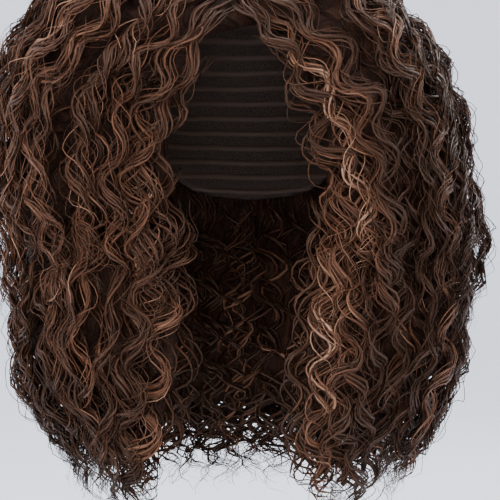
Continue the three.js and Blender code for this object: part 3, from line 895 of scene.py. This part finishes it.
class WigStage(bpy.types.PropertyGroup):
    floor_drop: length_property("Floor drop", "From the lowest tips down to the floor", 0.10)
    sweep_distance: length_property("Sweep distance", "From the middle to where the floor has turned up", 5.0)
    sweep_colour: colour_property("Sweep colour", "The pale floor that curves up behind", (0.84, 0.86, 0.90))


def merged_copy(name):
    """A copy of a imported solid's mesh, its points joined up."""
    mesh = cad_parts[name].data.copy()
    shape = bmesh.new()
    shape.from_mesh(mesh)
    bmesh.ops.remove_doubles(shape, verts=shape.verts, dist=1e-6)
    shape.to_mesh(mesh)
    shape.free()
    mesh.materials.clear()
    return mesh


def round_off(piece):
    """One subdivision and smooth shading."""
    bpy.ops.object.select_all(action="DESELECT")
    piece.select_set(True)
    bpy.context.view_layer.objects.active = piece
    modifier = piece.modifiers.new("round", "SUBSURF")
    modifier.levels = modifier.render_levels = 1
    bpy.ops.object.modifier_apply(modifier="round")
    bpy.ops.object.shade_smooth()


class WIG_OT_cap(bpy.types.Operator):
    """Round off the stretch cap and give it its net with sewn rows"""
    bl_idname = "wig.cap"
    bl_label = "Cap"

    def execute(self, context):
        piece = add_piece("cap_net", merged_copy("cap"), cap_finish(context.scene.wig_cap), "cap")
        round_off(piece)
        return {"FINISHED"}


class WIG_OT_crown_hair(bpy.types.Operator):
    """Lay the locks that fall from the parting and the crown"""
    bl_idname = "wig.crown_hair"
    bl_label = "Crown hair"

    def execute(self, context):
        hair = context.scene.wig_hair
        finish = hair_finish("crown_hair", hair)
        for number, section in enumerate(CROWN):
            bundles = dress_section(section, CROWN_LAYERS, None, hair, 100 + number, crown_root)
            mesh = strand_mesh(section["node"], bundles)
            piece = add_piece("locks_" + section["node"], mesh, finish, section["node"])
        return {"FINISHED"}


class WIG_OT_hanging_hair(bpy.types.Operator):
    """Lay the locks that hang beside the face and round the neck"""
    bl_idname = "wig.hanging_hair"
    bl_label = "Hanging hair"

    def execute(self, context):
        hair = context.scene.wig_hair
        finish = hair_finish("hanging_hair", hair)
        for number, section in enumerate(HANGING):
            bundles = dress_section(section, HANGING_LAYERS, TIER_COVER, hair, 200 + number, hanging_root)
            mesh = strand_mesh(section["node"], bundles)
            piece = add_piece("locks_" + section["node"], mesh, finish, section["node"])
        return {"FINISHED"}


# The under-hair: how much shorter it is than its solid, how far sections overlap, and how far it stays behind the
# edges of the face and the hair's inner face
CROWN_SHORTER = 0.03
CROWN_SHORTER_FALLS = (1.0, 1.4)
HANGING_SHORTER = 0.08
HANGING_SHORTER_FALLS = (1.5, 2.05)
OVERLAP = 0.0022
MARGINS = (0.018, 0.009)
MARGIN_FALLS = (1.0, 1.2)
NECK_INSET = 0.008
INSET_FALLS = (1.05, 1.25)
LEAST_THICKNESS = 0.012
LEAST_KEPT = 0.25
LEAST_RADIUS = 0.05
FRONT_AZIMUTH = 80
BEFORE_SECTION = 60.0  # degrees before a section's start that still count as just outside it


def under_mesh(section, crown, hair):
    """A section's solid, drawn in behind its locks, with the flow of its hair for the material."""
    mesh = merged_copy(section["node"])
    points = np.empty(len(mesh.vertices) * 3)
    mesh.vertices.foreach_get("co", points)
    azimuth, fall, distance = placed(points.reshape(-1, 3))
    if crown:
        fall = fall - CROWN_SHORTER * smoothstep(fall, *CROWN_SHORTER_FALLS)
    else:
        fall = fall - (HANGING_SHORTER + section["short"]) * smoothstep(fall, *HANGING_SHORTER_FALLS)
    start = across(section, fall, 0.0)
    width = across(section, fall, 1.0) - start
    share = (np.mod(azimuth - start + BEFORE_SECTION, 360.0) - BEFORE_SECTION) / width
    grown = 1.0 + 2.0 * np.degrees(OVERLAP / np.maximum(distance, LEAST_RADIUS)) / width
    azimuth = start + width * (0.5 + (share - 0.5) * grown)
    azimuth = np.mod(azimuth + 180.0, 360.0) - 180.0
    margin = mix(*MARGINS, smoothstep(fall, *MARGIN_FALLS))
    margin = np.degrees(margin / np.maximum(distance, LEAST_RADIUS))
    left, right = edge("face_left", fall) + margin, edge("face_right", fall) - margin
    front = (np.abs(azimuth) < FRONT_AZIMUTH) & (fall > HAIRLINE_FALL)
    azimuth = np.where(front & (azimuth > (left + right) / 2), np.maximum(azimuth, left), azimuth)
    azimuth = np.where(front & (azimuth < (left + right) / 2), np.minimum(azimuth, right), azimuth)
    inner = INNER.at(azimuth, fall)
    thick = np.maximum(OUTER.at(azimuth, fall) - inner, LEAST_THICKNESS)
    inset = np.zeros_like(fall) if crown else NECK_INSET * smoothstep(fall, *INSET_FALLS)
    kept = np.maximum(1.0 - (hair.under_depth + inset) / thick, LEAST_KEPT)
    distance = inner + inset + (distance - inner) * kept
    mesh.vertices.foreach_set("co", place(azimuth, fall, distance).reshape(-1))
    mesh.shade_smooth()
    mesh.update()
    flow = np.stack([share * section_width(section, PITCH_FALL), fallen(fall), np.zeros_like(fall)], -1)
    flow = flow.astype(np.float32).reshape(-1)
    mesh.attributes.new("flow", "FLOAT_VECTOR", "POINT").data.foreach_set("vector", flow)
    return mesh


class WIG_OT_under_hair(bpy.types.Operator):
    """Fill the depth behind the locks with dark hair in the shape of each section"""
    bl_idname = "wig.under_hair"
    bl_label = "Under-hair"

    def execute(self, context):
        hair = context.scene.wig_hair
        finish = under_finish(hair)
        for section in CROWN + HANGING:
            crown = section in CROWN
            piece = add_piece("under_" + section["node"], under_mesh(section, crown, hair), finish)
        return {"FINISHED"}


# The studio. The sweep is a floor that bends up into a backdrop, and a little light of its own keeps it pale.
SWEEP_HEIGHT = 4.0
SWEEP_BEND = 2.2
SWEEP_SEGMENTS = 40
SWEEP_ROUGHNESS = 0.7
SWEEP_GLOW = 0.36
LIT_POINT = (0.0, 0.0, -0.17)
LIGHTS = [
    {"name": "key_light", "spot": (-0.75, -1.25, 0.70), "watts": 23.0, "size": 0.7},
    {"name": "fill_light", "spot": (0.90, -1.30, 0.00), "watts": 3.4, "size": 1.0},
    {"name": "front_light", "spot": (0.0, -1.60, -0.20), "watts": 5.0, "size": 0.4},
    {"name": "top_light", "spot": (0.0, 0.15, 1.20), "watts": 12.0, "size": 0.8},
    {"name": "back_light", "spot": (0.9, 0.70, 0.50), "watts": 8.0, "size": 0.5},
]
WORLD_COLOUR = (0.96, 0.97, 1.0, 1.0)
WORLD_STRENGTH = 0.60
CAMERA_SPOT = (-0.001, -1.185, -0.186)
CAMERA_LENS = 122.0
SENSOR_WIDTH = 36.0


class WIG_OT_stage(bpy.types.Operator):
    """Set up the floor with its backdrop, the lights and the camera"""
    bl_idname = "wig.stage"
    bl_label = "Stage"

    def execute(self, context):
        stage = context.scene.wig_stage
        bpy.ops.object.select_all(action="DESELECT")
        level = CAD_LOW.z - stage.floor_drop
        bpy.ops.mesh.primitive_plane_add(size=2.0 * stage.sweep_distance, location=(0.0, 0.0, level))
        sweep = context.active_object
        sweep.name = "sweep"
        for edge_line in sweep.data.edges:
            edge_line.select = all(sweep.data.vertices[k].co.y > 0.0 for k in edge_line.vertices)
        bpy.ops.object.mode_set(mode="EDIT")
        bpy.ops.mesh.select_mode(type="EDGE")
        bpy.ops.mesh.extrude_region_move(TRANSFORM_OT_translate={"value": (0.0, 0.0, SWEEP_HEIGHT)})
        bpy.ops.object.mode_set(mode="OBJECT")
        corner = [abs(v.co.z) < 1e-4 and v.co.y > 0.0 for v in sweep.data.vertices]
        for edge_line in sweep.data.edges:
            edge_line.select = all(corner[k] for k in edge_line.vertices)
        bpy.ops.object.mode_set(mode="EDIT")
        bpy.ops.mesh.bevel(offset=SWEEP_BEND, segments=SWEEP_SEGMENTS)
        bpy.ops.object.mode_set(mode="OBJECT")
        bpy.ops.object.shade_smooth()
        colour = tuple(stage.sweep_colour)
        finish = Finish("sweep", **{"Base Color": colour, "Roughness": SWEEP_ROUGHNESS,
                                    "Emission Color": colour, "Emission Strength": SWEEP_GLOW})
        sweep.data.materials.append(finish.material)
        for row in LIGHTS:
            bpy.ops.object.light_add(type="AREA", location=row["spot"])
            light = context.active_object
            light.name = row["name"]
            light.data.energy = row["watts"]
            light.data.size = row["size"]
            light.rotation_euler = (Vector(LIT_POINT) - Vector(row["spot"])).to_track_quat("-Z", "Y").to_euler()
        world = bpy.data.worlds.new("studio")
        world.use_nodes = True
        world.node_tree.nodes["Background"].inputs["Color"].default_value = WORLD_COLOUR
        world.node_tree.nodes["Background"].inputs["Strength"].default_value = WORLD_STRENGTH
        context.scene.world = world
        bpy.ops.object.camera_add(location=CAMERA_SPOT, rotation=(math.radians(90), 0.0, 0.0))
        camera = context.active_object
        camera.name = "camera"
        camera.data.lens = CAMERA_LENS
        camera.data.sensor_width = SENSOR_WIDTH
        context.scene.camera = camera
        return {"FINISHED"}


class WIG_PT_wig(bpy.types.Panel):
    bl_label = "Long curly wig"
    bl_idname = "WIG_PT_wig"
    bl_space_type = "VIEW_3D"
    bl_region_type = "UI"
    bl_category = "Wig"

    def draw(self, context):
        for group in (context.scene.wig_hair, context.scene.wig_cap, context.scene.wig_stage):
            for name in group.__annotations__:
                self.layout.prop(group, name)
        for operator in OPERATORS:
            self.layout.operator(operator.bl_idname)


GROUPS = {"wig_hair": WigHair, "wig_cap": WigCap, "wig_stage": WigStage}
OPERATORS = (WIG_OT_cap, WIG_OT_crown_hair, WIG_OT_hanging_hair, WIG_OT_under_hair, WIG_OT_stage)


def register():
    for name, group in GROUPS.items():
        bpy.utils.register_class(group)
        setattr(bpy.types.Scene, name, PointerProperty(type=group))
    for operator in OPERATORS:
        bpy.utils.register_class(operator)
    bpy.utils.register_class(WIG_PT_wig)


def unregister():
    bpy.utils.unregister_class(WIG_PT_wig)
    for operator in reversed(OPERATORS):
        bpy.utils.unregister_class(operator)
    for name, group in reversed(GROUPS.items()):
        delattr(bpy.types.Scene, name)
        bpy.utils.unregister_class(group)


def main():
    register()
    bpy.ops.wig.cap()
    bpy.ops.wig.crown_hair()
    bpy.ops.wig.hanging_hair()
    bpy.ops.wig.under_hair()
    bpy.ops.wig.stage()


if __name__ == "__main__":
    main()
